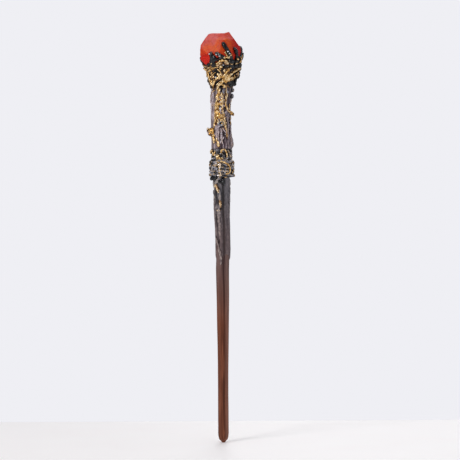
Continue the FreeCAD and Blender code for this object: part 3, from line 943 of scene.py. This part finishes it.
def build_collar_strands():
    for node in ("collar_back_strand", "collar_bead"):
        sculpted(node, GOLD, lump=0.18)
    for node in ("collar_curl", "collar_lip"):
        sculpted(node, GOLD, lump=0.2, reshape=slid)
    sculpted("collar_arch", GOLD, lump=0.2, reshape=drawn_in)


def random_strands(cluster, count, turns, heights, thin, thick, length, steep):
    """Short strands strewn over a band, each with a bend; steep is the share of its length that climbs."""
    random = cluster.random
    for _ in range(count):
        turn = random.uniform(*turns)
        height = random.uniform(*heights)
        reach = length * random.uniform(0.6, 1.2)
        climb = reach * steep * random.choice((-1, 1)) * random.uniform(0.4, 1.0)
        around = math.degrees(math.sqrt(max(reach**2 - climb**2, 1)) / BAND_RADIUS)
        end_height = min(max(height + climb, heights[0]), heights[1])
        bend = random.uniform(-0.3, 0.3)
        middle = ((turn + turn + around) / 2 + 20 * bend, (height + end_height) / 2 + 3 * bend)
        width = random.uniform(thin, thick)
        cluster.strand([(turn, height), middle, (turn + around, end_height)], width, width * 0.7)


# ---------------------------------------------------------------- grip

GRIP_HOLLOWS = [
    (-9, 289.2, 1.1, 2.6), (10, 284.8, 0.9, 1.2), (12, 281.7, 1, 1.2), (-47, 269.2, 1, 1.4),
    (-32, 272.2, 1.1, 1.5), (-10, 262.8, 0.9, 2.6), (5, 263.4, 0.9, 1.6), (19, 262.3, 0.9, 2),
    (14, 258.3, 0.9, 1.4), (4, 255.6, 1.2, 1), (52, 254.3, 0.6, 1.9), (-64, 291.3, 0.8, 2.2),
    (2, 270.3, 1.4, 1.6), (2, 300.1, 1.6, 1.2), (150, 284, 1.2, 3), (200, 268, 1.2, 3),
    (-130, 280, 1, 4), (110, 272, 1, 3.5), (-100, 258, 1.1, 3), (176, 258, 1, 3),
]


def bark_host(node, step, material, pressed, cell, twist):
    """Bark with long winding ridges, flakes and pressed hollows, in place of a turned CAD node."""
    low, high = box_of(node)
    heights = np.arange(low[2] + 0.05, high[2], step)
    turn, height, radius = grid_on(node, np.arange(0, 360, 2.0), heights)
    radius = np.maximum(radius, np.percentile(radius, 30, axis=1, keepdims=True) - 0.1)
    points = place(turn, height, radius).reshape(-1, 3)
    wavy = twisted(points, twist) + 0.8 * (noise(points, 5, 12) - 0.5)[:, None]
    bark = ridges(wavy, cell, 13).reshape(turn.shape)
    flakes = (noise(points, (1.1, 1.1, 3.4), 14) - 0.5).reshape(turn.shape)
    dip = hollows(turn, height, radius, pressed)
    relief = 0.75 * (bark - 0.45) + 0.45 * flakes - 0.75 * dip
    raised = 0.5 + 0.62 * (bark - 0.45) + 0.5 * flakes - 0.75 * dip
    tube_piece(node, place(turn, height, radius + relief), raised, material)


def knotted(points):
    """The grip's knot with a dark hollow under its bar and one at its right."""
    pressed = scooped(points, [(-58, 260.8, 13.5, 2.7), (-36, 266.0, 12.5, 2.3)])
    return pressed + (0.6, 0, -0.5)


def build_grip():
    """Bark-like sleeve with its vines, knot, bead and nubs, and what is laid on them."""
    bark_host("grip_sleeve", 0.33, BARK, GRIP_HOLLOWS, (2.3, 2.3, 17), 0)
    sculpted("vine_left", GOLD, lump=0.34, cell=1.3)
    for node in ("vine_front", "vine_right", "vine_back_right", "vine_back_left"):
        sculpted(node, ROOT_GOLD, lump=0.3, cell=1.2, pull=0.3)
    for node in ("vine_far_right", "vine_far_left"):
        sculpted(node, ROOT_GOLD, lump=0.24, cell=1.2, pull=0.9)
    sculpted("grip_knot", KNOT_GOLD, lump=0.3, cell=2.6, sink=0, reshape=knotted)
    sculpted("hook_bead", GOLD, lump=0.22, sink=0)
    sculpted("grip_bulge", BARK, lump=0.3, cell=1.6)
    for nub in ("nub_upper", "nub_lower"):
        sculpted(nub, DARK, lump=0.2)
    sculpted("knot_hole_rim", DARK, voxel=0.15, lump=0.12, cell=0.9)
    hosts = surface_of("grip_sleeve", "grip_knot", "hook_bead")
    for lay in (lay_knot_glint, lay_grip_gold, lay_grip_rust, lay_grip_glints, lay_bark_ridges):
        lay(hosts)


def lay_knot_glint(hosts):
    # Painted highlight: a cream bar along the knot's upper left, where it catches the light.
    bar = Cluster(hosts, 45, 0.4)
    bar.strand([(-86, 265.2), (-74, 266.6), (-62, 267.6)], 2.0, 1.6, 0.5)
    bar.finish("grip_knot_glint", CREAM_GLINT)


def lay_grip_gold(hosts):
    """Gold strands and lumps down the grip's front, and a few strands round its back."""
    gold = Cluster(hosts, 41)
    gold.strands(
        ([(-52, 265), (-46, 262), (-50, 259)], 1.5, 1, 0.3),
        ([(28, 289.8), (29, 287), (38, 284), (54, 281.6), (66, 281.4)], 1.7, 1.5, 0.4),
    )
    gold.lump(70, 279.4, 1.4, 1.5, 1.0, 0.1)
    for turn, height, across, tall in (
        (-18, 294, 2, 2.6), (-22, 286.6, 1.9, 3.4), (-25, 280.2, 2, 2.6), (-10, 277.2, 2.2, 1.8),
        (7, 288.4, 1.8, 2.2), (13, 277, 1.6, 2.2), (-31, 273.6, 1.4, 2),
    ):
        gold.lump(turn, height, across, tall, 0.75, 0.1)
    random_strands(gold, 30, (-27, 16), (271, 299), 0.7, 1.3, 4.2, 0.8)
    for _ in range(16):
        size = gold.random.uniform(0.5, 1.0)
        gold.lump(gold.random.uniform(-27, 18), gold.random.uniform(270, 298), size, size, 0.6, 0.1)
    for turn, height in ((-22, 295.4), (-7, 296.3), (-24, 293.4), (-14, 292.8), (-15, 297.5)):
        gold.lump(turn, height, 0.95, 0.95, 0.9, 0.25)
    gold.strands(
        ([(-28, 290.3), (-26, 286.8), (-30, 282.3), (-32, 279.4)], 2, 1.6),
        ([(0, 291.8), (5, 288.6), (11, 285.8)], 1.9, 1.4),
        ([(-27, 281.9), (-16, 281.7), (-5, 279.9), (4, 277.9)], 1.5, 1.1),
        ([(-28, 276.4), (-18, 273.9), (-9, 271.9)], 1.2, 0.9),
        ([(-2, 273.7), (7, 274.7), (17, 272.9)], 1.2, 0.9),
        ([(-12, 285.2), (-16, 280.3), (-12, 275.9)], 1, 0.8),
        ([(58, 288.6), (63, 285.6), (60, 283)], 1.3, 1),
        ([(72, 277.2), (75, 273.8), (73, 270.4)], 1.4, 1),
        ([(-39, 261.9), (-43, 260.2), (-40, 256.1)], 1.5, 0.8),
        ([(24, 275.3), (22, 269.4), (30, 265.4)], 1.2, 0.8),
    )
    gold.lumps((-19, 253.8, 1.6, 2.4, 0.6, -0.1), (-30, 257.5, 0.8, 2.2, 0.5, -0.1))
    random_strands(gold, 9, (70, 300), (256, 300), 0.7, 1.2, 9.0, 0.92)
    gold.finish("grip_gilding", GOLD)


def lay_grip_rust(hosts):
    rust = Cluster(hosts, 44)
    for turn, height, size in (
        (-9, 290, 1), (-8, 287.4, 0.9), (10, 285, 1), (12, 281.6, 1), (-14, 282.2, 0.8),
        (-6, 279.4, 0.9), (-18, 276.2, 0.9), (1, 275.2, 0.8), (-28, 270.4, 0.9), (-22, 290.4, 0.7),
        (20, 279, 0.8), (-12, 297.6, 0.7), (62, 282.6, 0.9), (-60, 262.2, 1.1), (-78, 262.8, 1),
    ):
        rust.lump(turn, height, size * 0.8, size * 1.2, 0.75, 0.25)
    rust.strand([(-88, 262.4), (-76, 261.2), (-60, 261.0), (-48, 262.2)], 1.5, 1.2, 0.6)
    rust.finish("grip_rust", RUST)


def lay_grip_glints(hosts):
    # Painted highlights: silver white glints on the grip, one of them a short strand.
    glint_lumps = Cluster(hosts, 43)
    glint_lumps.strand([(-3, 285.0), (-1, 282.6), (2, 280.8)], 1.5, 0.8)
    glint_lumps.dots([
        (12, 298.4, 1), (-14, 293.2, 0.6), (-22, 295.6, 0.6), (3, 270, 0.9),
        (-16, 271, 0.7), (-2, 263, 0.6), (-4, 256.4, 0.7), (22, 262, 0.5),
    ], 0.7, 0.6, 0.3)
    glint_lumps.finish("grip_glints", GLINTS)


def lay_bark_ridges(hosts):
    bark = Cluster(hosts, 42)
    bark.strands(
        ([(-50, 298.4), (-46, 293.4), (-50, 287.5)], 2.2, 1.3),
        ([(-62, 290.6), (-58, 284.6), (-60, 278.6), (-54, 273.6)], 1.6, 1),
        ([(-2, 285.2), (0, 282.2), (-2, 279.3)], 1.3, 0.9),
        ([(-2, 267.3), (2, 263.4), (0, 258.4), (6, 253.5)], 1.6, 1),
        ([(-14, 265.4), (-18, 260.4), (-14, 255.5)], 1.6, 1),
        ([(42, 277.5), (46, 270.5), (40, 263.5), (44, 256.6)], 1.8, 1.2),
        ([(58, 271.6), (62, 265.7), (58, 258.7)], 1.6, 1),
    )
    random_strands(bark, 30, (-180, 180), (252, 301), 1.0, 1.7, 11.0, 0.95)
    bark.finish("bark_ridges", BARK)


# ---------------------------------------------------------------- crown

CROWN_HOLLOWS = [
    (-26, 313.7, 2.1, 3.2), (48, 311.5, 2, 1.9), (4, 319.3, 3, 1.6), (0, 303.8, 3.6, 1.1),
    (33, 317.3, 1.8, 1.3), (-28, 305.4, 1.2, 1.2), (74, 316.2, 1.6, 1.3), (12, 313.6, 1.1, 0.9),
    (-60, 305.5, 1.5, 1.5), (66, 306.1, 2.4, 1.6), (110, 312, 2, 2.4), (150, 308, 2, 1.8),
    (184, 314, 2.2, 2.6), (215, 308, 1.8, 2.2), (-110, 309, 1.8, 2.4), (-88, 317.9, 1.5, 1.2),
    (-140, 317, 2.2, 1.6), (130, 318, 2, 1.3),
]

CUP_DEPTH = 12
CUP_WALL = 1.8


def build_cup():
    """Cup like a tangle of twigs: crossing ridges outside, a lumpy rim, a plain inside."""
    low, high = box_of("crown_cup")
    turns = np.arange(0, 360, 2.0)
    outside = np.arange(low[2] + 0.05, high[2] - 0.1, 0.33)
    turn, height, radius = grid_on("crown_cup", turns, outside)
    points = place(turn, height, radius).reshape(-1, 3)
    left = ridges(twisted(points, 7.5), (2.2, 2.2, 9), 15)
    right = ridges(twisted(points, -6.5), (2.2, 2.2, 9), 16)
    tangle = np.maximum(left, right).reshape(turn.shape)
    grit = (noise(points, 1.1, 17) - 0.5).reshape(turn.shape)
    dip = hollows(turn, height, radius, CROWN_HOLLOWS)
    relief = 0.9 * (tangle - 0.55) + 0.4 * grit - 1.3 * dip
    raised = 0.42 + 0.5 * (tangle - 0.45) + 0.4 * grit - 0.9 * dip
    outer = place(turn, height, radius + relief)
    turn, height = np.meshgrid(turns, np.linspace(high[2] - 0.2, high[2] - CUP_DEPTH, 20))
    slope = (radius[-1].mean() - radius[0].mean()) / (outside[-1] - outside[0])
    inner = place(turn, height, radius[-1].mean() - CUP_WALL - (high[2] - height) * slope)
    rings = np.concatenate([outer, inner])
    paint = np.concatenate([raised, np.full(turn.shape, 0.15)])
    tube_piece("crown_cup", rings, paint, ROOT_GOLD)


# How much some prongs are swollen and pulled in towards the crystal.
PRONG_SHAPES = {
    "prong_1": (0.40, 0.0), "prong_2": (0.40, 0.1), "prong_3": (0.42, 0.0), "prong_4": (0.15, 0.1),
    "prong_5": (-0.25, 0.2), "prong_7": (0.15, 0.6),
}


def build_crown():
    """Claws and twigs round the cup, and the nest of small strands and lumps between them."""
    prongs = numbered("prong", 10)
    for prong, twig in zip(prongs, numbered("crown_twig", 10)):
        swell, pull = PRONG_SHAPES.get(prong, (0.0, 0.0))
        sculpted(prong, BLACK, lump=0.3, cell=1.7, sink=0.4, swell=swell, pull=pull)
        sculpted(twig, GOLD, lump=0.3, cell=1.4)
    sculpted("neck_arch_upper", GOLD, lump=0.15)
    sculpted("neck_arch_lower", DARK, lump=0.12)
    hosts = surface_of("crown_cup", "crystal", *prongs)
    for lay in (lay_crown_gold, lay_crown_olive, lay_crown_glints, lay_crown_black):
        lay(hosts)


def lay_crown_gold(hosts):
    gold = Cluster(hosts, 51)
    gold.strands(
        ([(-34, 320.6), (-28, 321.6), (-21, 320.2)], 1.5, 1.1),
        ([(6, 321), (14, 320), (23, 320.6)], 1.3, 1.1),
        ([(24, 322.3), (31, 321), (38, 322)], 1.4, 1),
        ([(44, 321.2), (52, 322), (62, 320.6), (70, 321.6)], 1.5, 1.1),
        ([(74, 320.4), (82, 321.8), (92, 320.6)], 1.5, 1.1),
        ([(-108, 320.8), (-96, 321.8), (-84, 320), (-72, 320.8)], 1.6, 1.2),
        ([(-20, 320.4), (-11, 322.2), (-3, 323.4), (10, 323.2), (20, 322.2), (29, 320)], 2.1, 1.6, 1.7),
        ([(-62, 317.9), (-48, 319.1), (-34, 320.3), (-22, 321.9)], 1.2, 1),
        ([(-64, 316.1), (-46, 316.7), (-30, 317.9), (-12, 318.6)], 1.9, 1.6),
        ([(-50, 311.7), (-58, 310.3), (-68, 308.6)], 1.5, 1),
        ([(18, 314.6), (26, 316.9), (35, 319.4)], 1.5, 1),
        ([(48, 315.4), (66, 317.4), (86, 319.1)], 2, 1.5),
        ([(-26, 303.7), (-13, 305.3), (-1, 307.2)], 1.4, 1.1),
        ([(-9, 301.3), (5, 302), (20, 301.5)], 1.6, 1.3),
        ([(22, 303.5), (26, 300.2), (29, 296.6)], 1.2, 0.9),
        ([(-60, 308.2), (-48, 306.1), (-44, 302.9), (-48, 300)], 1.6, 1.3),
        ([(-20, 316.9), (-10, 314.8), (-4, 311.3), (-12, 308.4)], 1.5, 1.1),
        ([(7, 317), (8, 314.2), (16, 312.1)], 1.5, 1.2),
        ([(40, 308.1), (56, 309.1), (70, 311), (88, 312.4)], 1.5, 1.2),
        ([(56, 312.8), (64, 310.6), (76, 310.1)], 1.3, 1),
        ([(11, 331.2), (15, 329), (19, 326.6)], 1.3, 1.5, 0.5),
        ([(28, 329.2), (25, 327.6), (20, 326.4)], 1.2, 1.5, 0.5),
        ([(12, 326.4), (20, 325.8), (27, 326.4)], 1.5, 1.2, 0.6),
        ([(-92, 319.5), (-86, 316.5), (-90, 313)], 2.4, 1.8),
        ([(88, 318.5), (92, 315.5), (86, 312)], 2.2, 1.8),
        ([(66, 329.5), (70, 326.3), (68, 322.6)], 1.5, 1.2),
        ([(60, 328), (62, 324.6), (58, 321.9)], 1.4, 1.1),
    )
    gold.dots([
        (-46, 314, 1.5), (-8, 312.6, 1.1), (-17, 309.6, 1.3), (-5, 318.7, 1.5), (7, 315.2, 1.2),
        (-33, 307.4, 1.7), (48, 325.4, 1.3), (-8, 316.9, 1), (-38, 310.4, 1.1), (2, 310.5, 1.4),
    ], 0.85, 0.9, 0.2)
    gold.lumps(
        (24, 310, 4.2, 4.2, 1.1, 0.2), (14, 307.8, 2.4, 1.6, 0.9, 0.2), (9, 325.8, 1.3, 0.8, 0.8, 0.5),
    )
    random_strands(gold, 44, (80, 300), (304, 321), 0.9, 1.8, 9.0, 0.6)
    gold.finish("crown_nest", GOLD)


def lay_crown_olive(hosts):
    olive = Cluster(hosts, 55)
    for turn, height, across in ((-16, 320.2, 2.2), (-7, 321.6, 2.8), (4, 322.0, 2.6), (13, 321.2, 2.2)):
        olive.lump(turn, height, across, 1.3, 0.9, 0.8)
    olive.lump(84, 317.2, 2.6, 1.6, 1.6, 0.6)
    olive.strand([(58, 313.4), (74, 313.0), (92, 311.8)], 2.4, 1.9, 1.2)
    olive.finish("crown_olive_twigs", ROOT_GOLD)


def lay_crown_glints(hosts):
    # Painted highlights: silver white glints on the crown.
    glint_lumps = Cluster(hosts, 54)
    glint_lumps.dots([
        (4, 320.2, 1), (4, 303.6, 0.9), (-27, 310.2, 0.9), (-12, 328.4, 0.8), (-4, 327, 0.7),
        (-31, 329.2, 0.8), (18, 331, 0.9), (22, 329.2, 0.8), (44, 318.9, 0.9), (34, 317.6, 0.7),
        (48, 306.4, 0.8), (-40, 321.6, 0.9), (31, 322.6, 0.7), (50, 331, 0.7), (-58, 314.4, 0.8),
        (88, 313.6, 1),
    ], 0.6, 0.5, 0.25)
    glint_lumps.finish("crown_glints", GLINTS)


def lay_crown_black(hosts):
    black = Cluster(hosts, 52)
    black.dots([(37, 306.0, 2.2), (52, 306.6, 2.6), (66, 304.8, 2.2), (50, 303.6, 1.8)], 0.8, 0.9, 0.3)
    black.strand([(-12, 325.4), (4, 325.6), (20, 325.0), (36, 323.6)], 1.9, 1.6, 0.4)
    black.lumps(
        (-22, 325.2, 3.4, 2.8, 1.4, 0.2), (-34, 322.5, 2.4, 2.4, 1.5, 0), (-6, 324.2, 2.4, 1.4, 1.2, 0),
        (27, 323.2, 2.7, 2.2, 1.3, 0.2), (60, 320.8, 2.4, 2.2, 1.5, 0.5), (-54, 321.2, 2.2, 1.5, 1.3, 0.2),
        (42, 319.6, 2, 1.5, 1, 0.3), (34, 316.3, 1.6, 1.2, 0.9, 0.2), (-78, 321.6, 1.8, 1.4, 0.5, 0),
    )
    for turn in (100, 126, 150, 176, 204, 228, 252):
        black.lump(turn, 322.0 + 3 * black.random.random(), 3.0, 2.2, 1.5, 0.2)
    black.strand([(-62, 305.5), (-58, 303.5), (-62, 301.2)], 1.8, 1.2)
    black.lumps(
        (88, 314.8, 2.8, 1.5, 1.7, 0.8), (84, 308.4, 3, 2, 1.6, 0.8), (92, 318.8, 2.4, 2.4, 2, 1.2),
        (92, 312.2, 2.4, 2, 2, 1.2), (-86, 309.2, 2, 2.4, 1.2, 0.1), (86, 305.6, 2.4, 2, 1.8, 0.6),
    )
    black.strands(
        ([(-32, 307), (-26, 305), (-20, 302.7)], 1.3, 1),
        ([(40, 307.3), (50, 305.7), (62, 305.1)], 2.4, 1.6),
        ([(52, 321.4), (44, 318.3), (36, 315.8)], 1.5, 1.2),
    )
    random_strands(black, 26, (70, 310), (304, 321), 1.0, 1.9, 8.0, 0.7)
    random_strands(black, 9, (-85, -20), (304, 317), 0.9, 1.4, 4.5, 0.9)
    black.finish("crown_black_twigs", BLACK)


TOP_SLOPE = 0.15  # how steeply the crystal's top falls towards the front
# How far the crystal's crest lies under its peak: place across and mm.
CREST_DROPS = [(-14, 1.0), (2.6, 1.1), (6.2, 0.1), (7.0, 0.0), (15.4, 11.8)]


def chipped(points):
    """The crystal with a dished top left of its peak and a few shallow chips."""
    top = box_of("crystal")[1][2]
    crest = top - np.interp(points[:, 0], *zip(*CREST_DROPS))
    crest = crest - TOP_SLOPE * np.maximum(-points[:, 1], 0)
    points = points.copy()
    points[:, 2] = np.minimum(points[:, 2], crest)
    fold = hill(points[:, 2], 328.6, 0.8) * smooth_step(-points[:, 0], 4, 8)
    points -= outward_of(points) * fold[:, None]
    return scooped(points, [(52, 331.0, 24.0, 7.2), (-66, 326.6, 19.0, 2.4), (150, 338.0, 27.0, 10.4)])


def build_crystal():
    sculpted("crystal", CRYSTAL, 0.35, lump=0.17, cell=3.0, sink=0, soft=9, reshape=chipped)
    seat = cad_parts["crystal_seat"].data
    seat.materials.clear()
    seat.materials.append(ADHESIVE)


build_stick()
build_skin()
build_skin_strands()
build_roots()
build_collar()
build_collar_strands()
build_grip()
build_cup()
build_crown()
build_crystal()

# ---------------------------------------------------------------- floor, light and camera

VIEW_DISTANCE = 1.2
VIEW_TALL = 0.3924  # what the picture takes in, at the wand
VIEW_MIDDLE = 0.1810  # the height that the camera looks at
WAND_ASIDE = 0.0068  # how far the wand stands left of the picture's middle
LEAN = math.radians(0.33)


def build_floor():
    """Pale floor whose far edge lies a little behind the wand."""
    side, back = 3.0, VIEW_DISTANCE / 9
    corners = [(-side, -side, 0), (side, -side, 0), (side, back, 0), (-side, back, 0)]
    mesh = bpy.data.meshes.new("floor")
    mesh.from_pydata(corners, [], [(0, 1, 2, 3)])
    paint = Paint("pale_floor")
    tone = paint.shades(paint.noise(60.0), (0.3, (0.89, 0.87, 0.87)), (0.7, (0.91, 0.89, 0.89)))
    glow = {"Emission_Color": (1, 0.99, 0.995, 1), "Emission_Strength": 0.09}
    mesh.materials.append(paint.finish(Base_Color=tone, Roughness=0.6, **glow))
    floor = linked(bpy.data.objects.new("floor", mesh))


def build_world():
    """Pale backdrop, a dimmer grey as a light than as a background."""
    world = bpy.data.worlds.new("studio")
    bpy.context.scene.world = world
    world.use_nodes = True
    nodes, links = world.node_tree.nodes, world.node_tree.links
    nodes.clear()
    shown = nodes.new("ShaderNodeBackground")
    shown.inputs["Color"].default_value = (0.863, 0.863, 0.904, 1)
    lit = nodes.new("ShaderNodeBackground")
    lit.inputs["Color"].default_value = (0.30, 0.30, 0.32, 1)
    choice = nodes.new("ShaderNodeMixShader")
    links.new(nodes.new("ShaderNodeLightPath").outputs["Is Camera Ray"], choice.inputs["Fac"])
    links.new(lit.outputs[0], choice.inputs[1])
    links.new(shown.outputs[0], choice.inputs[2])
    links.new(choice.outputs[0], nodes.new("ShaderNodeOutputWorld").inputs["Surface"])


def add_light(name, place_m, size, watts, colour=(1, 1, 1)):
    """Soft square lamp aimed at the upper part of the wand."""
    light = bpy.data.lights.new(name, "AREA")
    light.size = size
    light.energy = watts
    light.color = colour
    lamp = linked(bpy.data.objects.new(name, light))
    lamp.location = place_m
    aim = Vector((0, 0, 0.22)) - Vector(place_m)
    lamp.rotation_euler = aim.to_track_quat("-Z", "Y").to_euler()


def build_camera():
    camera = linked(bpy.data.objects.new("camera", bpy.data.cameras.new("camera")))
    camera.data.sensor_width = 36
    camera.data.lens = 36 * VIEW_DISTANCE / VIEW_TALL
    camera.data.clip_end = 50
    stand = Matrix.Translation((WAND_ASIDE, -VIEW_DISTANCE, VIEW_MIDDLE))
    camera.matrix_world = stand @ Matrix.Rotation(math.pi / 2, 4, "X") @ Matrix.Rotation(-LEAN, 4, "Z")
    bpy.context.scene.camera = camera


build_floor()
build_world()
add_light("key", (-0.9, -0.9, 0.95), 0.5, 9.0, (1.0, 0.985, 0.96))
add_light("fill", (1.2, -0.7, 0.5), 0.9, 2.6, (0.93, 0.95, 1.0))
add_light("top", (0.1, 0.1, 1.6), 1.0, 7.0)
add_light("back", (0.3, 1.3, 0.7), 0.9, 5.0)
build_camera()
bpy.context.scene.view_settings.view_transform = "Standard"
